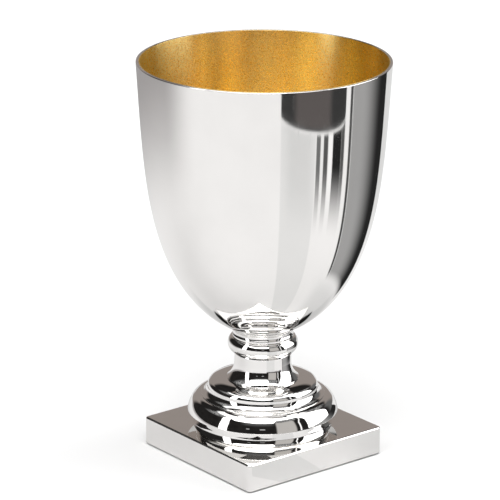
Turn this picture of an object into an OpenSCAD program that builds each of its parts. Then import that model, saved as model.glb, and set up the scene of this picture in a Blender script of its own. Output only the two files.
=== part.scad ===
// Open footed cup on a square plinth: a spun, silver-plated bowl with a gilt inside, standing on
// turned mouldings that a central stud and nut clamp together.
// Millimetres. +Z is up. The origin is under the centre of the foot, on the surface it stands on.

/* [Bowl] */
// Outer radius of the mouth
rim_r = 47; // [44:0.5:50]
// Depth of the bowl outside, from the rim down to its lowest point
bowl_h = 105.5; // [95:0.1:115]
// Share of the mouth radius that the wall loses on its way down
bowl_taper = 0.135; // [0.10:0.005:0.18]
// Thickness of the spun metal
bowl_wall = 1.1; // [0.8:0.1:1.5]
// Thickness of the gilt inside
gilt_t = 0.2; // [0.1:0.05:0.3]

/* [Stem mouldings] */
// Outer radius of the collar's lip, where the bowl sits
collar_r = 13; // [12.6:0.1:13.4]
// Outer radius of the knop
knop_r = 13.3; // [12.8:0.1:14]
// Height of the knop
knop_h = 5.5; // [5.2:0.1:6.2]
// Radius of the knop's rounded edge, seen in section
knop_edge_r = 3.6; // [3.4:0.05:4.4]
// Radius of the neck at its narrowest
neck_r = 10.7; // [10.4:0.1:10.9]
// Height of the neck
neck_h = 10.2; // [9:0.1:14]
// Radius of the neck's hollow curve
neck_cove_r = 8; // [7:0.1:8.4]

/* [Foot mouldings] */
// Outer radius of the step
step_r = 20.8; // [20.6:0.1:21]
// Height of the step
step_h = 6.4; // [6:0.1:7]
// Outer radius of the big moulding, at its sharp lower edge
ovolo_r = 28.4; // [28:0.1:28.8]
// Radius of its side, seen in section
ovolo_side_r = 13.5; // [12:0.5:15]
// Radius of its shoulder, seen in section
ovolo_shoulder_r = 4; // [3.6:0.1:4.4]
// Height of the riser that lifts it off the plinth
riser_h = 5.8; // [5.2:0.1:6.4]
// Thickness of the cast mouldings
moulding_wall = 1.2; // [1:0.1:1.4]

/* [Plinth] */
// Side of the square
plinth_side = 64; // [60:0.5:72]
// Height of its top face above the table
plinth_h = 11; // [10.6:0.1:13]
// Thickness of the sheet it is folded from
plinth_wall = 1.2; // [1:0.1:1.4]
// Radius of its four upright corners
plinth_corner_r = 1.5; // [1.3:0.1:3]
// Thickness of the felt under it
felt_t = 1.5; // [1.2:0.1:1.7]
// How far the felt stands below the plinth's edge
felt_proud = 0.5; // [0.3:0.1:0.8]

/* [Fastening] */
// Radius of the clamping stud
stud_r = 3; // [2.5:0.5:3]
// Height of the hexagon nut
nut_h = 5; // [4.5:0.1:5]
// Width of the nut across its flats
nut_flats = 10; // [9:0.5:11]
// Radius of the opening that lets a box spanner reach the nut
access_r = 13; // [10:0.5:15]

/* [Hidden] */
$fn = 96;

plate_silver = "gainsboro";
gold = "goldenrod";
raw_brass = "darkkhaki";
raw_steel = "slategray";

// Shape of the bowl's round bottom: 2 and 2 would be an ellipse, more is squarer
bowl_depth_power = 4.05;
bowl_radius_power = 1.8;
bowl_steps = 48;
// Crowds the outline's points towards the bottom, where it turns fastest
bowl_crowding = 1.6;
arc_steps = 16;

// Small gaps: between plated layers, at the bowl's seat, and round a spigot or a shaft
layer_gap = 0.02;
seat_gap = 0.05;
spigot_gap = 0.05;
running_gap = 0.08;

// Big foot moulding: angles of its outward normal at the lower edge and where side meets shoulder
ovolo_edge_slope = 11;
ovolo_turn_slope = 30;
ovolo_z = plinth_h + riser_h;
ovolo_side_centre = [ovolo_r, ovolo_z] - ovolo_side_r * [cos(ovolo_edge_slope), sin(ovolo_edge_slope)];
ovolo_shoulder_centre = ovolo_side_centre
    + (ovolo_side_r - ovolo_shoulder_r) * [cos(ovolo_turn_slope), sin(ovolo_turn_slope)];
landing_r = 19.45;
plinth_hole_r = 20;

// Riser under it, leaning out a little and then flaring on to the plinth
riser_top_r = 25;
riser_foot_r = 25.25;
flare_r = 4.6;
flare_sweep = 40;

// Heights of the stacked mouldings, from the big one up to the bowl
step_z = ovolo_shoulder_centre[1] + ovolo_shoulder_r;
neck_z = step_z + step_h;
neck_top_z = neck_z + neck_h;
neck_bead_h = 1;
knop_z = neck_top_z + neck_bead_h;
collar_z = knop_z + knop_h;
boss_least_t = 0.73;
bowl_z = collar_z + boss_least_t;
rim_z = bowl_z + bowl_h;

// Foot step: a dome that rolls over into a lip, with a hollow curve under it
step_dome_r = 17;
step_roll_r = 2.3;
step_turn_slope = 72;
step_dome_centre_r = step_r - step_roll_r - (step_dome_r - step_roll_r) * cos(step_turn_slope);
step_cove_r = 3.2;
step_cove_from = 11;
step_cove_to = 78;
step_edge_h = 0.25;
step_spigot_h = 1.5;
neck_hole_r = 10.55;

// Neck, knop and collar
bore_r = 8.55;
neck_spigot_h = 1.8;
neck_foot_t = 0.4;
neck_sweep = 50;
neck_bead_proud = 0.5;
neck_bead_edge_r = 3.4;
neck_bead_slope = 11;
knop_spigot_h = 2;
collar_disc_r = 11.6;
collar_cove_r = 1.5;
collar_cove_z = collar_z + 1.9;
collar_waist_r = 11.2;
collar_lip_t = 0.2;

// Boss and stud under the bowl
boss_r = 9;
hub_r = 5;
hub_h = 6;
stud_top_z = collar_z - 1;
stud_end_z = 1.2;
thread_pitch = 1;

// Clamping stack inside the plinth
clamp_r = 23;
clamp_t = 1.5;
clamp_top_z = plinth_h - plinth_wall;
lock_top_z = clamp_top_z - clamp_t;
lock_t = 1.4;
lock_r = 5.9;
lock_split = 0.8;
nut_top_z = lock_top_z - lock_t;
base_plate_t = 1;
inner_side = plinth_side - 2 * plinth_wall;

// Points along a circle's arc in the half-section, from one angle to another
function arc(centre_r, centre_z, r, from, to, steps = arc_steps) =
    [for (i = [0:steps]) let (a = from + (to - from) * i / steps)
        [centre_r + r * cos(a), centre_z + r * sin(a)]];

// Outside radius of the bowl at a share t of its depth: a tapered wall turning into a round bottom
function bowl_radius(t) =
    rim_r * (1 - bowl_taper * t) * pow(1 - pow(t, bowl_depth_power), 1 / bowl_radius_power);

bowl_outline = [for (i = [0:bowl_steps]) let (t = 1 - pow(1 - i / bowl_steps, bowl_crowding))
    [bowl_radius(t), rim_z - bowl_h * t]];

// The bowl's outline moved inwards by d along its normals; the rim stays level and the pole central
function bowl_inset(d) = [for (i = [0:bowl_steps])
    let (p = bowl_outline[i],
        along = bowl_outline[min(i + 1, bowl_steps)] - bowl_outline[max(i - 1, 0)],
        inward = [along[1], -along[0]] / norm(along))
    i == 0 ? [p[0] - d, p[1]]
        : i == bowl_steps ? [0, p[1] + d]
            : p + d * inward];

function reversed(list) = [for (i = [len(list) - 1:-1:0]) list[i]];

// Height of the bowl's underside at radius r
function bowl_underside(r) = lookup(r, bowl_outline);

// The bowl's underside from one radius to another, lowered by a gap
function seat_points(from, to, gap, steps = 10) =
    [for (i = [0:steps]) let (r = from + (to - from) * i / steps) [r, bowl_underside(r) - gap]];

module turned(points) {
    rotate_extrude() polygon(points);
}

module rounded_square(side, r) {
    straight = side - 2 * r;
    square([side, straight], center = true);
    square([straight, side], center = true);
    for (x = [-1, 1], y = [-1, 1]) {
        translate([x * straight / 2, y * straight / 2]) circle(r);
    }
}

module bowl_shell() {
    color(plate_silver) turned(concat(bowl_outline, reversed(bowl_inset(bowl_wall))));
}

module gilt_lining() {
    outside = bowl_wall + layer_gap;
    color(gold) turned(concat(bowl_inset(outside), reversed(bowl_inset(outside + gilt_t))));
}

// Flanged hub brazed under the bowl; the flange is dished to the bowl and the hub holds the stud
module stud_boss() {
    hub_bottom_z = collar_z - hub_h;
    socket_r = stud_r + layer_gap;
    color(raw_brass) turned(concat(
        [[0, stud_top_z + layer_gap], [socket_r, stud_top_z + layer_gap], [socket_r, hub_bottom_z],
            [hub_r, hub_bottom_z], [hub_r, collar_z], [boss_r, collar_z]],
        reversed(seat_points(0, boss_r, layer_gap))));
}

module clamping_stud() {
    chamfer = 0.5;
    color(raw_steel) {
        translate([0, 0, stud_end_z + chamfer]) cylinder(r = stud_r, h = stud_top_z - stud_end_z - chamfer);
        translate([0, 0, stud_end_z]) cylinder(r1 = stud_r - chamfer, r2 = stud_r, h = chamfer);
    }
}

// Thin disc below, hollow curve, and a lip dished to carry the bowl
module bowl_collar() {
    cove_centre_r = collar_waist_r + collar_cove_r;
    cove_angle = acos((cove_centre_r - collar_disc_r) / collar_cove_r);
    lip_z = bowl_underside(collar_r) - seat_gap - collar_lip_t;
    color(plate_silver) turned(concat(
        [[boss_r + spigot_gap, collar_z], [collar_disc_r, collar_z]],
        arc(cove_centre_r, collar_cove_z, collar_cove_r, 180 + cove_angle, 180 - cove_angle),
        [[collar_r, lip_z]],
        reversed(seat_points(boss_r + spigot_gap, collar_r, seat_gap))));
}

module knop_ring() {
    half_angle = asin(knop_h / 2 / knop_edge_r);
    shaft_r = hub_r + running_gap;
    color(plate_silver) turned(concat(
        [[shaft_r, knop_z - knop_spigot_h], [bore_r - spigot_gap, knop_z - knop_spigot_h],
            [bore_r - spigot_gap, knop_z]],
        arc(knop_r - knop_edge_r, knop_z + knop_h / 2, knop_edge_r, -half_angle, half_angle, 2 * arc_steps),
        [[shaft_r, collar_z]]));
}

// Thin ring under the knop, convex outside, with a sharp lower edge
module neck_bead() {
    centre_r = neck_r + neck_bead_proud - neck_bead_edge_r * cos(neck_bead_slope);
    centre_z = neck_top_z - neck_bead_edge_r * sin(neck_bead_slope);
    top_slope = asin((knop_z - centre_z) / neck_bead_edge_r);
    color(plate_silver) turned(concat(
        [[bore_r, neck_top_z]],
        arc(centre_r, centre_z, neck_bead_edge_r, neck_bead_slope, top_slope, 6),
        [[bore_r, knop_z]]));
}

module neck_spool() {
    cove_z = neck_z + neck_foot_t + neck_cove_r * sin(neck_sweep);
    foot_r = neck_r + neck_cove_r * (1 - cos(neck_sweep));
    spigot_r = neck_hole_r - spigot_gap;
    color(plate_silver) turned(concat(
        [[bore_r, neck_top_z], [neck_r, neck_top_z]],
        arc(neck_r + neck_cove_r, cove_z, neck_cove_r, 180, 180 + neck_sweep),
        [[foot_r, neck_z], [spigot_r, neck_z], [spigot_r, neck_z - neck_spigot_h],
            [bore_r, neck_z - neck_spigot_h]]));
}

// Domed step: landing for the neck, dome, rolled lip, hollow curve, spigot below; hollow inside
module foot_step() {
    dome_z = neck_z - step_dome_r;
    roll_centre_r = step_r - step_roll_r;
    roll_z = dome_z + (step_dome_r - step_roll_r) * sin(step_turn_slope);
    cove_centre_r = step_r + step_cove_r * cos(step_cove_from);
    cove_z = step_z + step_edge_h + step_cove_r * sin(step_cove_to);
    cove_foot_r = cove_centre_r - step_cove_r * cos(step_cove_to);
    spigot_r = landing_r - spigot_gap;
    color(plate_silver) turned(concat(
        [[neck_hole_r, neck_z]],
        arc(step_dome_centre_r, dome_z, step_dome_r, 90, step_turn_slope, 8),
        arc(roll_centre_r, roll_z, step_roll_r, step_turn_slope, 0),
        arc(cove_centre_r, cove_z, step_cove_r, 180 + step_cove_from, 180 + step_cove_to),
        [[cove_foot_r, step_z], [spigot_r, step_z], [spigot_r, step_z - step_spigot_h],
            [spigot_r - moulding_wall, step_z - step_spigot_h],
            [spigot_r - moulding_wall, step_z + moulding_wall],
            [step_r - moulding_wall, step_z + moulding_wall]],
        arc(roll_centre_r, roll_z, step_roll_r - moulding_wall, 0, step_turn_slope, 8),
        arc(step_dome_centre_r, dome_z, step_dome_r - moulding_wall, step_turn_slope, 90, 8),
        [[neck_hole_r, neck_z - moulding_wall]]));
}

// Big moulding with a landing above, on a riser that flares on to the plinth; hollow inside
module foot_ovolo() {
    inner_side_r = ovolo_side_r - moulding_wall;
    soffit_angle = asin((ovolo_z + moulding_wall - ovolo_side_centre[1]) / inner_side_r);
    flare_z = plinth_h + flare_r * sin(flare_sweep);
    spigot_r = plinth_hole_r - spigot_gap;
    color(plate_silver) turned(concat(
        [[landing_r, step_z]],
        arc(ovolo_shoulder_centre[0], ovolo_shoulder_centre[1], ovolo_shoulder_r, 90, ovolo_turn_slope),
        arc(ovolo_side_centre[0], ovolo_side_centre[1], ovolo_side_r, ovolo_turn_slope, ovolo_edge_slope, 8),
        [[riser_top_r, ovolo_z]],
        arc(riser_foot_r + flare_r, flare_z, flare_r, 180, 180 + flare_sweep),
        [[spigot_r, plinth_h], [spigot_r, clamp_top_z], [spigot_r - moulding_wall, clamp_top_z],
            [spigot_r - moulding_wall, plinth_h + moulding_wall],
            [riser_top_r - moulding_wall, plinth_h + moulding_wall],
            [riser_top_r - moulding_wall, ovolo_z + moulding_wall]],
        arc(ovolo_side_centre[0], ovolo_side_centre[1], inner_side_r, soffit_angle, ovolo_turn_slope, 8),
        arc(ovolo_shoulder_centre[0], ovolo_shoulder_centre[1], ovolo_shoulder_r - moulding_wall,
            ovolo_turn_slope, 90),
        [[landing_r, step_z - moulding_wall]]));
}

// Square tray, open below, with a hole for the big moulding's spigot
module plinth_shell() {
    skirt_z = felt_proud;
    color(plate_silver) difference() {
        translate([0, 0, skirt_z]) linear_extrude(plinth_h - skirt_z)
            rounded_square(plinth_side, plinth_corner_r);
        translate([0, 0, skirt_z - 1]) linear_extrude(clamp_top_z - skirt_z + 1)
            square(inner_side, center = true);
        translate([0, 0, clamp_top_z - 1]) cylinder(r = plinth_hole_r, h = plinth_wall + 2);
    }
}

module clamp_plate() {
    color(raw_steel) translate([0, 0, lock_top_z]) difference() {
        cylinder(r = clamp_r, h = clamp_t);
        translate([0, 0, -1]) cylinder(r = stud_r + running_gap, h = clamp_t + 2);
    }
}

// Split spring washer, drawn flat as it is when the nut is tight
module lock_washer() {
    color(raw_steel) translate([0, 0, nut_top_z]) difference() {
        cylinder(r = lock_r, h = lock_t);
        translate([0, 0, -1]) cylinder(r = stud_r + running_gap, h = lock_t + 2);
        translate([stud_r - 1, -lock_split / 2, -1]) cube([lock_r, lock_split, lock_t + 2]);
    }
}

module retaining_nut() {
    corner_r = nut_flats / 2 / cos(30);
    color(raw_brass) translate([0, 0, nut_top_z - nut_h]) difference() {
        cylinder(r = corner_r, h = nut_h, $fn = 6);
        translate([0, 0, -1]) cylinder(r = stud_r + running_gap, h = nut_h + 2);
    }
}

module base_plate() {
    color(raw_brass) translate([0, 0, felt_t]) linear_extrude(base_plate_t) difference() {
        square(inner_side - 0.1, center = true);
        circle(access_r);
    }
}

module felt_pad() {
    color("darkslategray") linear_extrude(felt_t) difference() {
        square(inner_side - 0.4, center = true);
        circle(access_r);
    }
}

bowl_shell();
gilt_lining();
stud_boss();
clamping_stud();
bowl_collar();
knop_ring();
neck_bead();
neck_spool();
foot_step();
foot_ovolo();
plinth_shell();
clamp_plate();
lock_washer();
retaining_nut();
base_plate();
felt_pad();
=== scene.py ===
"""The cup's looks: every piece is rebuilt, smooth and with soft edges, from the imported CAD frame."""

from math import cos, hypot, pi, radians, sin, tan

import bmesh
import bpy
from mathutils import Matrix, Vector, noise

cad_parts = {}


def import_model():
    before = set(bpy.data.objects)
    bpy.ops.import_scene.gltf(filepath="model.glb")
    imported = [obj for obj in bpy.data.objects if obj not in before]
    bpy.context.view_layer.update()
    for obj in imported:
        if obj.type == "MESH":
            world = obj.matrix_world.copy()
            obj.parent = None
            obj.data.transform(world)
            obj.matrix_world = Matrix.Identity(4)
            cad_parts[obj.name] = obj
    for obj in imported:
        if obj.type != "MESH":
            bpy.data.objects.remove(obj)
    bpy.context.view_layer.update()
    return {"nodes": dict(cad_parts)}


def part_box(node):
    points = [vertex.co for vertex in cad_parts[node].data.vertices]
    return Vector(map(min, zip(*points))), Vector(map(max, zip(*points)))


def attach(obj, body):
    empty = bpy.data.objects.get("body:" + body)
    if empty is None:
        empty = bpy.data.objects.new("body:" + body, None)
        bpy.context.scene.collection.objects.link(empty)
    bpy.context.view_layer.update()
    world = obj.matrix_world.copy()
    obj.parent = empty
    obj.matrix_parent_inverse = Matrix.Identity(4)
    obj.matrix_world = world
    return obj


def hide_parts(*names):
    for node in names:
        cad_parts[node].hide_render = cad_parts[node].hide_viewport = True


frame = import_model()

MM = 0.001
# Points round a turned piece, and round the corners and along the sides of a square one
SEGMENTS = 288
CORNER_STEPS = 16
SIDE_STEPS = 24
# An outline that turns by more than this has a real corner there
CORNER = radians(16)
# A span this many times as long as its neighbour is a straight part of the outline
LONG_SPAN = 2.2
EDGE_SOFTNESS = 0.22 * MM
# Scale of the felt's unevenness, in bumps per metre
FELT_GRAIN = 900
THREAD_PITCH = 1.0 * MM
THREAD_DEPTH = 0.5 * MM
THREAD_PLAY = 0.06 * MM


# ---- Outlines ---------------------------------------------------------------------------------

def key(point):
    """A point of the half-section, rounded so that a mesh's doubled vertices count as one."""
    return (round(point[0], 6), round(point[1], 6))


def seam_links(node):
    """For a turned CAD node, which points (r, z) of its half-section are joined by a mesh edge."""
    mesh = frame["nodes"][node].data
    on_seam = {}
    for v in mesh.vertices:
        if abs(v.co.y) < 1e-6 and v.co.x > -1e-7:
            on_seam[v.index] = key((max(v.co.x, 0.0), v.co.z))
    links = {}
    for edge in mesh.edges:
        a, b = (on_seam.get(i) for i in edge.vertices)
        if a and b and a != b:
            links.setdefault(a, set()).add(b)
            links.setdefault(b, set()).add(a)
    return links


def outline(node):
    """The half-section of a turned CAD node as a list of (r, z), and whether it closes on itself.

    Level faces have no edge along the section, so two loose ends at one height are joined, and a
    loose end with no partner runs level to the axis.
    """
    links = seam_links(node)
    loose = [p for p in links if len(links[p]) == 1 and p[0] > 1e-6]
    for p in loose:
        partners = [q for q in loose if q != p and abs(q[1] - p[1]) < 2e-6]
        other = partners[0] if partners else key((0.0, p[1]))
        links[p].add(other)
        links.setdefault(other, set()).add(p)
    on_axis = sorted((p for p in links if p[0] < 1e-6), key=lambda p: p[1])
    start = on_axis[0] if on_axis else min(links)
    path, last = [start], None
    while True:
        onward = sorted(q for q in links[path[-1]] if q != last and q not in path[1:])
        if not onward or onward[0] == start:
            break
        last = path[-1]
        path.append(onward[0])
    return [Vector(p) for p in path], not on_axis


def turn_at(points, i, closed):
    """How far the outline turns at point i."""
    if not closed and i in (0, len(points) - 1):
        return pi
    before = points[i] - points[i - 1]
    after = points[(i + 1) % len(points)] - points[i]
    return before.angle(after, 0.0)


def hermite(a, b, slope_a, slope_b, t):
    """A point on the cubic from a to b with the given end slopes."""
    return ((2 * t ** 3 - 3 * t ** 2 + 1) * a + (t ** 3 - 2 * t ** 2 + t) * slope_a
            + (3 * t ** 2 - 2 * t ** 3) * b + (t ** 3 - t ** 2) * slope_b)


def slope(before, here, after, length):
    """The curve's slope at a point between two others; a much longer span is straight and sets it."""
    d1, d2 = (here - before).length, (after - here).length
    if d1 > LONG_SPAN * d2:
        direction = here - before
    elif d2 > LONG_SPAN * d1:
        direction = after - here
    else:
        direction = (here - before) / d1 * d2 + (after - here) / d2 * d1
    return direction.normalized() * length


def curved(points, closed, finest):
    """The outline with every gently turning stretch redrawn as a smooth curve of short spans."""
    n = len(points)
    corner = [turn_at(points, i, closed) > CORNER for i in range(n)]
    out = []
    for i in range(n if closed else n - 1):
        a, b = points[i], points[(i + 1) % n]
        span = (b - a).length
        before = points[i - 1] if (closed or i > 0) else Vector((-b.x, b.y))
        after = points[(i + 2) % n] if (closed or i + 2 < n) else Vector((-a.x, a.y))
        straight = b - a
        on_axis_a, on_axis_b = a.x < 1e-7, b.x < 1e-7
        soft_a = not corner[i] or (on_axis_a and not closed)
        soft_b = not corner[(i + 1) % n] or (on_axis_b and not closed)
        slope_a = slope(before, a, b, span) if soft_a else straight
        slope_b = slope(a, b, after, span) if soft_b else straight
        if not soft_a and soft_b:
            slope_a = 1.5 * straight - 0.5 * slope_b
        if not soft_b and soft_a:
            slope_b = 1.5 * straight - 0.5 * slope_a
        is_straight = not soft_a and not soft_b
        steps = 1 if is_straight else max(1, round(span / finest))
        out += [hermite(a, b, slope_a, slope_b, s / steps) for s in range(steps)]
    if not closed:
        out.append(points[-1].copy())
    return out


def softened(points, closed, radius, steps=6):
    """The outline with each sharp corner rounded to the radius, or less where there is no room."""
    out, n = [], len(points)
    for i, p in enumerate(points):
        turn = turn_at(points, i, closed)
        if turn < CORNER or (not closed and i in (0, n - 1)):
            out.append(p)
            continue
        to_a, to_b = points[i - 1] - p, points[(i + 1) % n] - p
        reach = min(radius * tan(turn / 2), 0.42 * to_a.length, 0.42 * to_b.length)
        to_a, to_b = to_a.normalized(), to_b.normalized()
        r = reach / tan(turn / 2)
        centre = p + (to_a + to_b).normalized() * r / cos(turn / 2)
        start, end = p + to_a * reach - centre, p + to_b * reach - centre
        for s in range(steps + 1):
            w = s / steps
            ray = (start * sin((1 - w) * turn) + end * sin(w * turn)) / sin(turn)
            out.append(centre + ray)
    return out


# ---- Meshes -----------------------------------------------------------------------------------

def piece(name, verts, faces, body, node, material):
    """A mesh that rides on a body and stands for a CAD node, with normals that keep flats flat."""
    mesh = bpy.data.meshes.new(name)
    mesh.from_pydata(verts, [], faces)
    bm = bmesh.new()
    bm.from_mesh(mesh)
    bmesh.ops.remove_doubles(bm, verts=bm.verts, dist=1e-7)
    bmesh.ops.recalc_face_normals(bm, faces=bm.faces)
    bm.to_mesh(mesh)
    bm.free()
    mesh.shade_smooth()
    mesh.set_sharp_from_angle(angle=radians(38))
    mesh.materials.append(material)
    obj = bpy.data.objects.new(name, mesh)
    bpy.context.scene.collection.objects.link(obj)
    weighted = obj.modifiers.new("flat_faces", "WEIGHTED_NORMAL")
    weighted.keep_sharp = True
    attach(obj, body)
    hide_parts(node)
    return obj


def joined_loops(loops, closed):
    """Vertices and quads of a skin over loops of equal length; a loop of one point is a tip."""
    verts, starts = [], []
    for loop in loops:
        starts.append(len(verts))
        verts += loop
    faces = []
    last = len(loops) if closed else len(loops) - 1
    for k in range(last):
        m = (k + 1) % len(loops)
        a, b = starts[k], starts[m]
        count = max(len(loops[k]), len(loops[m]))
        for i in range(count):
            j = (i + 1) % count
            if len(loops[k]) == 1:
                faces.append((a, b + i, b + j))
            elif len(loops[m]) == 1:
                faces.append((a + i, b, a + j))
            else:
                faces.append((a + i, b + i, b + j, a + j))
    return verts, faces


def ring(r, z):
    """A level circle round the axis, or one point when it has no radius."""
    if r < 1e-7:
        return [(0.0, 0.0, z)]
    return [(r * cos(2 * pi * i / SEGMENTS), r * sin(2 * pi * i / SEGMENTS), z)
            for i in range(SEGMENTS)]


def turned(node, body, material, softness=EDGE_SOFTNESS, finest=0.35 * MM):
    """A turned piece, from the CAD node's own half-section."""
    points, closed = outline(node)
    points = softened(curved(points, closed, finest), closed, softness)
    verts, faces = joined_loops([ring(p.x, p.y) for p in points], closed)
    return piece(node + "_finished", verts, faces, body, node, material)


def rounded_square(side, corner_r, z):
    """A loop of points round a square with rounded corners."""
    half = side / 2
    flat = half - corner_r
    loop = []
    for k in range(4):
        turn = k * pi / 2
        for i in range(CORNER_STEPS + 1):
            a = turn + (i / CORNER_STEPS) * pi / 2
            cx = flat * (1 if k in (0, 3) else -1)
            cy = flat * (1 if k in (0, 1) else -1)
            loop.append((cx + corner_r * cos(a), cy + corner_r * sin(a), z))
        x, y, _ = loop[-1]
        ux, uy = cos(turn + pi), sin(turn + pi)
        for i in range(1, SIDE_STEPS):
            step = 2 * flat * i / SIDE_STEPS
            loop.append((x + ux * step, y + uy * step, z))
    return loop


def circle_like(loop, r, z):
    """A circle whose points stand at the same angles as a loop's."""
    return [(r * x / hypot(x, y), r * y / hypot(x, y), z) for x, y, _ in loop]


def hole_radius(node):
    """Radius of the round hole in a CAD node; the hole's edge is what lies nearest to the axis."""
    return min(hypot(v.co.x, v.co.y) for v in frame["nodes"][node].data.vertices)


def plinth(node, body, material):
    """The folded square tray: outside, top edge, round hole, inside and lower edge in one skin."""
    low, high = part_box(node)
    side = high.x - low.x
    wall, corner_r, edge_r, foot_r = 1.2 * MM, 1.5 * MM, 0.7 * MM, 0.3 * MM
    hole_r = hole_radius(node)
    loops = []
    for i in range(5):
        a = radians(90 * i / 4)
        inset = foot_r * (1 - sin(a))
        loops.append(rounded_square(side - 2 * inset, corner_r - inset, low.z + foot_r * (1 - cos(a))))
    for i in range(9):
        a = radians(90 * i / 8)
        inset = edge_r * (1 - cos(a))
        z = high.z - edge_r * (1 - sin(a))
        loops.append(rounded_square(side - 2 * inset, corner_r - inset, z))
    top = loops[-1]
    loops.append(circle_like(top, hole_r + 8 * MM, high.z))
    loops.append(circle_like(top, hole_r, high.z))
    loops.append(circle_like(top, hole_r, high.z - wall))
    inner = side - 2 * wall
    for z in (high.z - wall, low.z + foot_r):
        loops.append(rounded_square(inner, 0.4 * MM, z))
    loops.append(rounded_square(inner + foot_r, 0.5 * MM, low.z))
    verts, faces = joined_loops(loops, True)
    return piece(node + "_finished", verts, faces, body, node, material)


# ---- Materials --------------------------------------------------------------------------------

class Graph:
    """Adds nodes to one node tree; an input given as a socket is linked, anything else is set."""

    def __init__(self, tree):
        self.tree = tree
        tree.nodes.clear()

    def add(self, kind, settings=(), **inputs):
        node = self.tree.nodes.new("ShaderNode" + kind)
        for name, value in dict(settings).items():
            setattr(node, name, value)
        for name, value in inputs.items():
            index = int(name[1:]) if name[0] == "i" and name[1:].isdigit() else None
            socket = node.inputs[index if index is not None else name.replace("_", " ")]
            if isinstance(value, bpy.types.NodeSocket):
                self.tree.links.new(value, socket)
            else:
                socket.default_value = value
        return node

    def math(self, operation, a, b=0.0):
        return self.add("Math", {"operation": operation}, i0=a, i1=b).outputs[0]

    def ramp(self, value, low, high, out_low=0.0, out_high=1.0):
        return self.add("MapRange", {"interpolation_type": "SMOOTHSTEP"}, Value=value, From_Min=low,
                        From_Max=high, To_Min=out_low, To_Max=out_high).outputs[0]

    def noise(self, where, scale, detail=3.0, rough=0.55):
        return self.add("TexNoise", Vector=where, Scale=scale, Detail=detail, Roughness=rough).outputs[0]

    def mix(self, share, a, b):
        node = self.add("Mix", {"data_type": "RGBA"}, i0=share, i6=a, i7=b)
        return node.outputs[2]


def material(name):
    mat = bpy.data.materials.new(name)
    mat.use_nodes = True
    graph = Graph(mat.node_tree)
    return mat, graph


def around_axis(graph):
    """Coordinates that follow a lathe: distance round the axis, height and radius, in metres."""
    where = graph.add("TexCoord").outputs["Object"]
    xyz = graph.add("SeparateXYZ", Vector=where)
    x, y, z = xyz.outputs
    angle = graph.math("ARCTAN2", y, x)
    radius = graph.math("SQRT", graph.math("ADD", graph.math("MULTIPLY", x, x),
                                           graph.math("MULTIPLY", y, y)))
    return where, angle, z, radius


def turning_lines(graph, angle, z, radius, pitch, drift):
    """Fine lines left round a turned piece, each running a long way round it."""
    across = graph.add("CombineXYZ", X=graph.math("MULTIPLY", z, 1.0 / pitch),
                       Y=graph.math("MULTIPLY", radius, 1.0 / pitch),
                       Z=graph.math("MULTIPLY", graph.math("SINE", angle), drift)).outputs[0]
    return graph.noise(across, 1.0, 4.0, 0.65)


def silver(name, tint, rough, line_height, pitch, wave_height):
    """Polished silver plate: faint turning lines, hairline scratches, slow waves and a soft haze."""
    mat, g = material(name)
    where, angle, z, radius = around_axis(g)
    lines = turning_lines(g, angle, z, radius, pitch, 1.5)
    waves = g.noise(where, 140.0, 1.0, 0.4)
    grain = g.noise(where, 2600.0, 2.0, 0.6)
    haze = g.noise(where, 55.0, 4.0, 0.6)
    stretched = g.add("Mapping", Vector=where, Scale=(900.0, 900.0, 60.0), Rotation=(0.5, 0.3, 0.0))
    scratch = g.noise(stretched.outputs[0], 1.0, 2.0, 0.7)
    scratch = g.ramp(scratch, 0.66, 0.72)
    height = g.math("MULTIPLY", lines, line_height)
    height = g.math("ADD", height, g.math("MULTIPLY", waves, wave_height))
    height = g.math("ADD", height, g.math("MULTIPLY", grain, line_height * 0.5))
    bump = g.add("Bump", Strength=1.0, Distance=1.0, Height=height)
    roughness = g.ramp(haze, 0.35, 0.75, rough * 0.7, rough * 1.5)
    roughness = g.math("ADD", roughness, g.math("MULTIPLY", scratch, 0.05))
    colour = g.mix(g.ramp(haze, 0.3, 0.8), (*tint, 1.0), (*[c * 0.965 for c in tint], 1.0))
    shader = g.add("BsdfPrincipled", Base_Color=colour, Metallic=1.0, Roughness=roughness,
                   Normal=bump.outputs[0])
    g.add("OutputMaterial", Surface=shader.outputs[0])
    return mat


def gilding():
    """Satin gold with the spinner's fine rings, so that light spreads up and down the wall."""
    mat, g = material("gilt_satin")
    where, angle, z, radius = around_axis(g)
    lines = turning_lines(g, angle, z, radius, 0.16 * MM, 2.5)
    broad = turning_lines(g, angle, z, radius, 1.1 * MM, 1.0)
    grain = g.noise(where, 1800.0, 3.0, 0.65)
    cloud = g.noise(where, 70.0, 3.0, 0.5)
    height = g.math("MULTIPLY", lines, 2.4e-6)
    height = g.math("ADD", height, g.math("MULTIPLY", broad, 1.6e-6))
    height = g.math("ADD", height, g.math("MULTIPLY", grain, 0.7e-6))
    bump = g.add("Bump", Strength=1.0, Distance=1.0, Height=height)
    colour = g.mix(g.ramp(cloud, 0.3, 0.75), (1.0, 0.79, 0.31, 1.0), (0.97, 0.74, 0.29, 1.0))
    roughness = g.ramp(grain, 0.3, 0.8, 0.24, 0.36)
    tangent = g.add("Tangent", {"direction_type": "RADIAL", "axis": "Z"}).outputs[0]
    shader = g.add("BsdfPrincipled", Base_Color=colour, Metallic=1.0, Roughness=roughness,
                   Anisotropic=0.8, Anisotropic_Rotation=0.25,
                   Normal=bump.outputs[0], Tangent=tangent)
    g.add("OutputMaterial", Surface=shader.outputs[0])
    return mat


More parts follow.
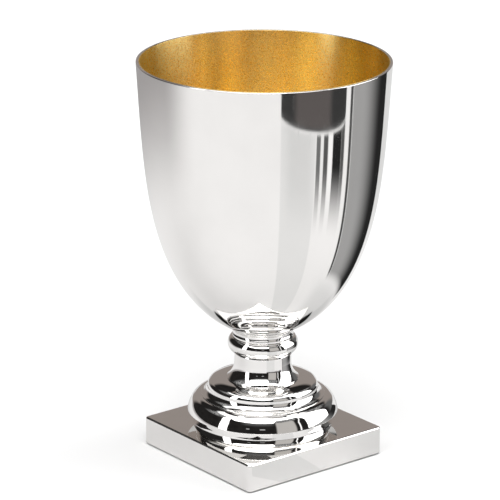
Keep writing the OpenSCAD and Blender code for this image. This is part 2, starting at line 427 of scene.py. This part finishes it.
def bare_metal(name, tint, dull, rough, pitch):
    """Machined metal kept out of sight: tool marks, dull spots and a little tarnish."""
    mat, g = material(name)
    where, angle, z, radius = around_axis(g)
    lines = turning_lines(g, angle, z, radius, pitch, 0.8)
    spots = g.noise(where, 420.0, 5.0, 0.6)
    stain = g.noise(where, 90.0, 4.0, 0.6)
    height = g.math("ADD", g.math("MULTIPLY", lines, 9e-6), g.math("MULTIPLY", spots, 4e-6))
    bump = g.add("Bump", Strength=1.0, Distance=1.0, Height=height)
    share = g.math("MULTIPLY", g.ramp(stain, 0.42, 0.7), 0.8)
    colour = g.mix(share, (*tint, 1.0), (*dull, 1.0))
    roughness = g.ramp(spots, 0.3, 0.75, rough * 0.75, rough * 1.35)
    shader = g.add("BsdfPrincipled", Base_Color=colour, Metallic=1.0, Roughness=roughness,
                   Normal=bump.outputs[0])
    g.add("OutputMaterial", Surface=shader.outputs[0])
    return mat


def felt():
    """Dark green wool felt: matted fibres, lint and a soft edge to the light."""
    mat, g = material("wool_felt")
    where = g.add("TexCoord").outputs["Object"]
    fibre = g.noise(where, 5200.0, 4.0, 0.75)
    clump = g.noise(where, 800.0, 3.0, 0.6)
    patch = g.noise(where, 60.0, 2.0, 0.5)
    height = g.math("ADD", g.math("MULTIPLY", fibre, 9e-5), g.math("MULTIPLY", clump, 2.2e-4))
    bump = g.add("Bump", Strength=1.0, Distance=1.0, Height=height)
    colour = g.mix(g.ramp(clump, 0.3, 0.7), (0.018, 0.036, 0.028, 1.0), (0.04, 0.07, 0.055, 1.0))
    colour = g.mix(g.math("MULTIPLY", g.ramp(patch, 0.4, 0.7), 0.35), colour, (0.055, 0.08, 0.066, 1.0))
    colour = g.mix(g.ramp(fibre, 0.66, 0.74), colour, (0.16, 0.2, 0.18, 1.0))
    shader = g.add("BsdfPrincipled", Base_Color=colour, Roughness=0.95, Normal=bump.outputs[0],
                   Sheen_Weight=0.35, Sheen_Roughness=0.5)
    g.add("OutputMaterial", Surface=shader.outputs[0])
    return mat


# ---- Fastenings and the foot's underside ------------------------------------------------------

def thread_radius(crest_r, depth, angle, z):
    """Radius of a right-hand V thread with flattened crests, at an angle and height."""
    phase = (z / THREAD_PITCH - angle / (2 * pi)) % 1.0
    rise = 1.0 - abs(2 * phase - 1.0)
    return crest_r - depth * (1.0 - min(max(1.25 * rise - 0.12, 0.0), 1.0))


def stud(node, body, material):
    """The stud: a chamfered, threaded lower end, a plain shank, and a threaded top in the boss."""
    low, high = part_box(node)
    crest_r = high.x
    segments, rings_per_turn = 72, 14
    threaded_to = low.z + 16 * MM
    threaded_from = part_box("stud_boss")[0].z
    chamfer = 0.6 * MM
    loops = [[(0.0, 0.0, low.z)]]
    count = round((high.z - low.z) / THREAD_PITCH * rings_per_turn)
    for k in range(count + 1):
        z = low.z + (high.z - low.z) * k / count
        end = min(1.0, min(z - low.z, high.z - z) / chamfer)
        reach = crest_r - 0.55 * MM * (1 - end)
        plain = min(1.0, max(0.0, min(z - threaded_to, threaded_from - z) / (1.5 * MM)))
        loop = []
        for i in range(segments):
            a = 2 * pi * i / segments
            r = thread_radius(crest_r, THREAD_DEPTH, a, z) * (1 - plain) + (crest_r - 0.15 * MM) * plain
            r = min(r, reach)
            loop.append((r * cos(a), r * sin(a), z))
        if plain < 1.0 or k % rings_per_turn == 0:
            loops.append(loop)
    loops.append([(0.0, 0.0, high.z)])
    verts, faces = joined_loops(loops, False)
    return piece(node + "_finished", verts, faces, body, node, material)


def nut(node, body, material):
    """The hexagon nut, chamfered on both faces, with its own thread in step with the stud's."""
    low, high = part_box(node)
    flats = high.y
    segments, rings_per_turn = 192, 12
    crest_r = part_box("clamping_stud")[1].x + THREAD_PLAY

    def hexagon(limit, z):
        loop = []
        for i in range(segments):
            a = 2 * pi * i / segments
            from_flat = (a + pi / 6) % (pi / 3) - pi / 6
            r = min(flats / cos(from_flat - pi / 6 if from_flat > 0 else from_flat + pi / 6), limit)
            loop.append((r * cos(a), r * sin(a), z))
        return loop

    def bore(z, widened):
        loop = []
        for i in range(segments):
            a = 2 * pi * i / segments
            r = max(thread_radius(crest_r, THREAD_DEPTH, a, z), widened)
            loop.append((r * cos(a), r * sin(a), z))
        return loop

    corner = flats / cos(pi / 6)
    loops = []
    drop = (corner - 0.96 * flats) * tan(radians(30))
    steps = 6
    for k in range(steps + 1):
        share = k / steps
        loops.append(hexagon(0.96 * flats + (corner - 0.96 * flats) * share, low.z + drop * share))
    for k in range(steps + 1):
        share = 1 - k / steps
        loops.append(hexagon(0.96 * flats + (corner - 0.96 * flats) * share, high.z - drop * share))
    count = round((high.z - low.z) / THREAD_PITCH * rings_per_turn)
    mouth_r, mouth_depth = crest_r + 0.35 * MM, 0.45 * MM
    for k in range(count + 1):
        z = high.z - (high.z - low.z) * k / count
        depth = min(high.z - z, z - low.z)
        loops.append(bore(z, mouth_r - (mouth_r - crest_r + THREAD_DEPTH) * min(1.0, depth / mouth_depth)))
    verts, faces = joined_loops(loops, True)
    return piece(node + "_finished", verts, faces, body, node, material)


def split_washer(node, body, material):
    """A spring washer: a rounded square bar bent round, with a slanting cut."""
    low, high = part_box(node)
    outer_r, inner_r = -low.x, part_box("clamping_stud")[1].x + 0.12 * MM
    mid_r, half_w = (outer_r + inner_r) / 2, (outer_r - inner_r) / 2
    mid_z, half_h = (low.z + high.z) / 2, (high.z - low.z) / 2
    cut, slant = radians(6.5), radians(5)
    edge = 0.22 * MM
    section = []
    for cx, cz, start in ((1, 1, 0), (-1, 1, 90), (-1, -1, 180), (1, -1, 270)):
        for i in range(5):
            a = radians(start + 90 * i / 4)
            section.append(((half_w - edge) * cx + edge * cos(a), (half_h - edge) * cz + edge * sin(a)))
    loops = []
    count = 150
    for k in range(count + 1):
        share = k / count
        loop = []
        for across, up in section:
            lean = slant * up / half_h
            a = cut + lean + (2 * pi - 2 * cut) * share
            r = mid_r + across
            loop.append((r * cos(a), r * sin(a), mid_z + up))
        loops.append(loop)
    first, last = ([tuple(sum(p[i] for p in loop) / len(loop) for i in range(3))]
                   for loop in (loops[0], loops[-1]))
    loops = [first] + loops + [last]
    verts, faces = joined_loops(loops, False)
    return piece(node + "_finished", verts, faces, body, node, material)


def roughened(loops, low, high, hole_r, depth):
    """Makes a sheet uneven like felt: its top sinks a little and its edges fray inwards."""
    half = (high.x - low.x) / 2
    middle = (low.z + high.z) / 2
    for loop in loops:
        for i, (x, y, z) in enumerate(loop):
            at = Vector((x, y, z)) * FELT_GRAIN
            sink = abs(noise.noise(at)) * depth if z > middle else 0.0
            at_rim = max(abs(x), abs(y)) > half - 0.6 * MM or hypot(x, y) < hole_r + 0.3 * MM
            pull = depth if at_rim else 0.2 * depth
            x -= noise.noise(at + Vector((7, 0, 0))) * pull
            y -= noise.noise(at + Vector((0, 7, 0))) * pull
            loop[i] = (max(-half, min(half, x)), max(-half, min(half, y)), z - sink)


def holed_square(node, body, material, corner_r, edge_r, roughen=0.0):
    """A flat square sheet with rounded edges and a round hole, for the base plate and the felt."""
    low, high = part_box(node)
    side = high.x - low.x
    hole_r = hole_radius(node)
    steps, rows = 5, 26
    loops = []
    for z, way in ((low.z, 1), (high.z, -1)):
        edge = []
        for i in range(steps + 1):
            a = radians(90 * i / steps)
            inset = edge_r * (1 - sin(a))
            height = z + way * edge_r * (1 - cos(a))
            edge.append(rounded_square(side - 2 * inset, corner_r - inset * 0.5, height))
        loops += edge if way > 0 else edge[::-1]
    outer_top = loops[-1]
    for z, order in ((high.z, 1), (low.z, -1)):
        face = []
        for k in range(1, rows + 1):
            share = k / rows
            circle = circle_like(outer_top, hole_r + (edge_r if k == rows else 0), z)
            start = [(x, y, z) for x, y, _ in outer_top]
            face.append([tuple(a + (b - a) * share for a, b in zip(p, q))
                         for p, q in zip(start, circle)])
        wall = circle_like(outer_top, hole_r, z - order * edge_r)
        loops += face + [wall] if order > 0 else [wall] + face[::-1]
    if roughen:
        roughened(loops, low, high, hole_r, roughen)
    verts, faces = joined_loops(loops, True)
    return piece(node + "_finished", verts, faces, body, node, material)


# ---- The cup ----------------------------------------------------------------------------------

SILVER = (0.93, 0.92, 0.905)
bowl_silver = silver("silver_bowl", SILVER, 0.045, 0.35e-6, 0.22 * MM, 1.2e-6)
foot_silver = silver("silver_mouldings", SILVER, 0.03, 0.2e-6, 0.18 * MM, 0.8e-6)
gilt = gilding()
brass = bare_metal("raw_brass", (0.66, 0.47, 0.2), (0.4, 0.27, 0.12), 0.34, 0.3 * MM)
steel = bare_metal("bare_steel", (0.5, 0.5, 0.52), (0.27, 0.25, 0.24), 0.36, 0.25 * MM)
wool = felt()

turned("bowl_shell", "bowl", bowl_silver, 0.3 * MM, 0.9 * MM)
turned("gilt_lining", "bowl", gilt, 0.1 * MM, 0.9 * MM)
turned("stud_boss", "bowl", brass)
stud("clamping_stud", "bowl", steel)
for moulding in ("bowl_collar", "knop_ring", "neck_bead", "neck_spool", "foot_step", "foot_ovolo"):
    turned(moulding, "foot", foot_silver, finest=0.2 * MM)
plinth("plinth_shell", "foot", foot_silver)
turned("clamp_plate", "foot", steel)
split_washer("lock_washer", "foot", steel)
nut("retaining_nut", "nut", brass)
holed_square("base_plate", "foot", brass, 0.5 * MM, 0.15 * MM)
holed_square("felt_pad", "foot", wool, 1.0 * MM, 0.35 * MM, 0.12 * MM)


# ---- Floor, light and camera ------------------------------------------------------------------
#
# Studio directions are azimuths round the cup, in degrees: 0 is towards the camera, 90 is to its
# right and 180 is behind the cup.

scene = bpy.context.scene
FLOOR_SIZE = 12.0
# A distance past the table's far edge, in metres
FAR = 9.0
# The overhead silk in the metal, and the plain backdrop that only the camera sees
SILK_BRIGHTNESS = 2.6
BACKDROP = (1.0, 1.0, 1.0, 1.0)
# The metal shows the table's painted reflection tone this much darker
PAINTED_REFLECTION_SHARE = (0.92, 0.92, 0.92, 1.0)
CAMERA_AZIMUTH = radians(-39.02)
CAMERA_DISTANCE, CAMERA_HEIGHT = 1.0454, 0.4203
CAMERA_PITCH, CAMERA_ROLL = radians(18.06), radians(0.293)
CAMERA_LENS, CAMERA_SHIFT = 212.65, -0.0268
towards_camera = Vector((sin(CAMERA_AZIMUTH), -cos(CAMERA_AZIMUTH), 0.0))
right_of_camera = Vector((cos(CAMERA_AZIMUTH), sin(CAMERA_AZIMUTH), 0.0))


def studio_angles(g, where):
    """Azimuth and elevation in degrees, and distance from the axis, of a point or direction."""
    across = g.add("VectorMath", {"operation": "DOT_PRODUCT"}, i0=where, i1=right_of_camera).outputs[1]
    along = g.add("VectorMath", {"operation": "DOT_PRODUCT"}, i0=where, i1=towards_camera).outputs[1]
    up = g.add("SeparateXYZ", Vector=where).outputs[2]
    distance = g.math("SQRT", g.math("ADD", g.math("MULTIPLY", across, across),
                                     g.math("MULTIPLY", along, along)))
    azimuth = g.math("DEGREES", g.math("ARCTAN2", across, along))
    elevation = g.math("DEGREES", g.math("ARCTAN2", up, distance))
    return azimuth, elevation, distance


def band(g, value, low, high, soft):
    """1 between low and high, fading to 0 over the soft width at each end."""
    rise = g.ramp(value, low - soft / 2, low + soft / 2)
    fall = g.ramp(value, high - soft / 2, high + soft / 2, 1.0, 0.0)
    return g.math("MULTIPLY", rise, fall)


def window(g, x, x_range, x_soft, y, y_range, y_soft):
    """A soft-edged rectangle over two values."""
    return g.math("MULTIPLY", band(g, x, *x_range, x_soft), band(g, y, *y_range, y_soft))


def layer(g, below, mask, tone):
    """Covers a tone with another one where the mask is 1; a tone is a number, colour or socket."""
    if isinstance(tone, float):
        tone = (tone, tone, tone, 1.0)
    elif isinstance(tone, tuple):
        tone = (*tone, 1.0)
    return g.mix(mask, below, tone)


def silk_brightness(g, azimuth):
    """The overhead silk: brightest over the camera in the metal, and behind the cup for the table.

    The cup's shadow on the table falls forwards because of this.
    """
    right = g.math("MULTIPLY", g.ramp(azimuth, 12, 45, 1.9, 1.0), g.ramp(azimuth, 88, 104, 1.0, 0.5))
    left = g.math("MULTIPLY", g.ramp(azimuth, -45, -12, 0.58, 1.0),
                  g.ramp(azimuth, -100, -66, 0.45, 1.0))
    mirrored = g.math("MULTIPLY", g.math("MULTIPLY", right, left), SILK_BRIGHTNESS)
    behind = g.math("ABSOLUTE", azimuth)
    cast = g.ramp(behind, 30, 150, SILK_BRIGHTNESS * 0.55, SILK_BRIGHTNESS * 1.1)
    return g.mix(g.add("LightPath").outputs["Is Diffuse Ray"], mirrored, cast)


def leaning(g, azimuth, elevation, start, lean):
    """Azimuth across an upright strip that leans over by some degrees a degree, above a height."""
    above = g.math("MAXIMUM", g.math("SUBTRACT", elevation, start), 0.0)
    return g.math("ADD", azimuth, g.math("MULTIPLY", above, lean))


def world():
    """The studio that the metal mirrors, in a dark room; the camera sees a plain pale backdrop."""
    scene.world = bpy.data.worlds.new("studio")
    scene.world.use_nodes = True
    g = Graph(scene.world.node_tree)
    direction = g.add("TexCoord").outputs["Generated"]
    azimuth, elevation, _ = studio_angles(g, direction)
    behind = g.math("ABSOLUTE", azimuth)

    mottle = g.noise(direction, 7.0, 4.0, 0.6)
    tone = g.mix(mottle, (0.004, 0.004, 0.004, 1.0), (0.03, 0.028, 0.027, 1.0))

    def card(azimuths, elevations, brightness, soft=(2.0, 2.0), over=azimuth):
        nonlocal tone
        mask = window(g, over, azimuths, soft[0], elevation, elevations, soft[1])
        tone = layer(g, tone, mask, brightness)

    # Pale wall behind the cup, whiter where it meets the table
    card((142, 200), (-2, 29), (0.30, 0.265, 0.245), (14.0, 5.0), over=behind)
    card((162, 200), (-2, 5), 0.8, (8.0, 5.0), over=behind)
    card((128, 150), (-2, 26), 0.13, (14.0, 8.0))
    # Dark room in front: a glow under the silk, two small lamps, and clutter at the sides
    card((-32, 17), (29, 40), 0.13, (16.0, 12.0))
    card((-4, 4), (14.5, 17.5), 0.5, (1.5, 1.5))
    card((-25, -20), (14.5, 18), 0.35, (1.5, 1.5))
    clutter = g.ramp(g.noise(direction, 22.0, 4.0, 0.7), 0.4, 0.62, 0.03, 0.55)
    card((-122, -74), (36, 60), clutter, (20.0, 12.0))
    card((104, 150), (34, 60), clutter, (12.0, 12.0))
    # Light card at the front right, with clutter above it
    card((22, 53), (-2, 36), (0.52, 0.5, 0.48), (3.5, 7.0))
    card((14, 62), (36, 62), clutter, (7.0, 8.0))
    # Right softbox, with a light stand before it that leans away at the top
    card((73, 119), (-2, 58), 2.6, (1.5, 6.0))
    card((59, 61.5), (-2, 54), 1.2, (1.0, 4.0), over=leaning(g, azimuth, elevation, 24.0, -0.5))
    # Tall strip light at the left, leaning back towards its top
    card((-69, -55), (-2, 60), 2.6, (1.5, 4.0), over=leaning(g, azimuth, elevation, 22.0, 0.25))
    # White silk overhead, which reaches lowest over the camera
    low_left = g.ramp(azimuth, -72, -46, 52.0, 36.5)
    low_right = g.ramp(azimuth, 18, 28, 0.0, 17.0)
    edge = g.math("SUBTRACT", elevation, g.math("ADD", low_left, low_right))
    tone = layer(g, tone, g.ramp(edge, -2.5, 1.5), silk_brightness(g, azimuth))

    seen = g.mix(g.add("LightPath").outputs["Is Camera Ray"], tone, BACKDROP)
    plain = g.add("Background", Color=seen, Strength=1.0)
    g.add("OutputWorld", Surface=plain.outputs[0])


def stage_plane(name, corners, material):
    mesh = bpy.data.meshes.new(name)
    mesh.from_pydata(corners, [], [tuple(range(len(corners)))])
    mesh.materials.append(material)
    obj = bpy.data.objects.new(name, mesh)
    scene.collection.objects.link(obj)
    return obj


def painted_reflection_tone(g, where, mottle):
    """The table's tone in the metal, all painted: painted shade from the cup, and painted reflections of
    the screens and stands round it.
    """
    azimuth, _, distance = studio_angles(g, where)
    behind = g.math("ABSOLUTE", azimuth)
    tone = g.mix(mottle, (0.665, 0.66, 0.66, 1.0), (0.64, 0.635, 0.635, 1.0))

    def cover(mask, brightness):
        nonlocal tone
        tone = layer(g, tone, mask, brightness)

    def shade(azimuths, distances, brightness, soft):
        cover(window(g, azimuth, azimuths, soft[0], distance, distances, soft[1]), brightness)

    # Painted shade where the light falls off towards the back left
    left = band(g, azimuth, -200, -80, 38.0)
    cover(g.math("MULTIPLY", left, g.ramp(distance, 0.02, 0.12)), (0.61, 0.605, 0.605))
    cover(g.math("MULTIPLY", left, g.ramp(distance, 0.2, 0.53)), (0.26, 0.25, 0.25))
    # Painted shadow of the cup, beside the plinth and behind it
    shade((70, 220), (0.02, 0.085), 0.56, (24.0, 0.03))
    cover(window(g, behind, (120, 200), 8.0, distance, (0.02, 0.085), 0.04), 0.5)
    cover(window(g, behind, (114, 200), 6.0, distance, (0.02, 0.0535), 0.003), 0.01)
    # Front right: a soft painted shade on the table
    shade((14.5, 46), (0.03, FAR), 0.57, (1.2, 0.02))
    shade((20, 43), (0.22, FAR), 0.5, (12.0, 0.16))
    # Painted reflections of stands and cloths beside it, seen as upright stripes
    for azimuths, brightness in (((47, 51), 0.12), ((51.3, 53.6), 0.62), ((54, 58.5), 0.07),
                                 ((59.5, 63), 0.7), ((63.4, 72.5), 0.014), ((72.5, 76), 0.07)):
        shade(azimuths, (0.24, FAR), brightness, (0.8, 0.16))
    shade((81, 84), (0.1, FAR), 0.05, (0.8, 0.02))
    # Right: a painted reflection of a grey screen that darkens to black towards the back, then of a pale
    # wall
    shade((84.5, 139.5), (0.1, FAR), g.ramp(azimuth, 96, 128, 0.26, 0.014), (1.2, 0.02))
    shade((139.5, 172), (0.24, FAR), 0.52, (1.2, 0.16))
    # Painted reflection of the dark room past the table's rounded corner, inside a thin bright edge that
    # is a painted highlight
    middle, half_width, rounding = 43.5, 32.0, 0.032
    across = g.math("DIVIDE", g.math("SUBTRACT", azimuth, middle), half_width)
    rest = g.math("SUBTRACT", 1.0, g.math("MULTIPLY", across, across))
    corner = g.math("SUBTRACT", 1.0, g.math("SQRT", g.math("MAXIMUM", rest, 0.0)))
    depth = g.math("SUBTRACT", distance, g.math("MULTIPLY", corner, rounding))
    for start, brightness in ((0.3705, 0.62), (0.3765, 0.03)):
        cover(window(g, azimuth, (14.5, 76), 0.8, depth, (start, FAR), 0.003), brightness)
    cover(window(g, azimuth, (27, 60), 7.0, depth, (0.382, FAR), 0.008), (0.078, 0.07, 0.068))
    return tone


def floor():
    """A plain pale table to the camera, which the metal mirrors with painted shade and painted reflections
    of the studio on it.
    """
    mat, g = material("pale_floor")
    where = g.add("TexCoord").outputs["Object"]
    mottle = g.noise(where, 9.0, 3.0, 0.5)
    plain = g.mix(mottle, (0.765, 0.765, 0.765, 1.0), (0.755, 0.755, 0.755, 1.0))
    mirrored = g.add("Mix", {"data_type": "RGBA", "blend_type": "MULTIPLY"}, i0=1.0,
                     i6=PAINTED_REFLECTION_SHARE, i7=painted_reflection_tone(g, where, mottle))
    # Only rays mirrored by the metal see the painted shade and painted reflections
    colour = g.mix(g.add("LightPath").outputs["Is Glossy Ray"], plain, mirrored.outputs[2])
    shader = g.add("BsdfDiffuse", Color=colour)
    g.add("OutputMaterial", Surface=shader.outputs[0])
    s = FLOOR_SIZE / 2
    stage_plane("floor", [(-s, -s, 0), (s, -s, 0), (s, s, 0), (-s, s, 0)], mat)


def camera():
    data = bpy.data.cameras.new("camera")
    data.lens = CAMERA_LENS
    data.shift_x = CAMERA_SHIFT
    data.clip_start, data.clip_end = 0.05, 60.0
    obj = bpy.data.objects.new("camera", data)
    scene.collection.objects.link(obj)
    obj.location = towards_camera * CAMERA_DISTANCE + Vector((0, 0, CAMERA_HEIGHT))
    turn = Matrix.Rotation(CAMERA_AZIMUTH, 4, "Z") @ Matrix.Rotation(pi / 2 - CAMERA_PITCH, 4, "X")
    obj.matrix_world = Matrix.Translation(obj.location) @ turn @ Matrix.Rotation(CAMERA_ROLL, 4, "Z")
    scene.camera = obj


floor()
camera()
world()
scene.view_settings.view_transform = "Standard"
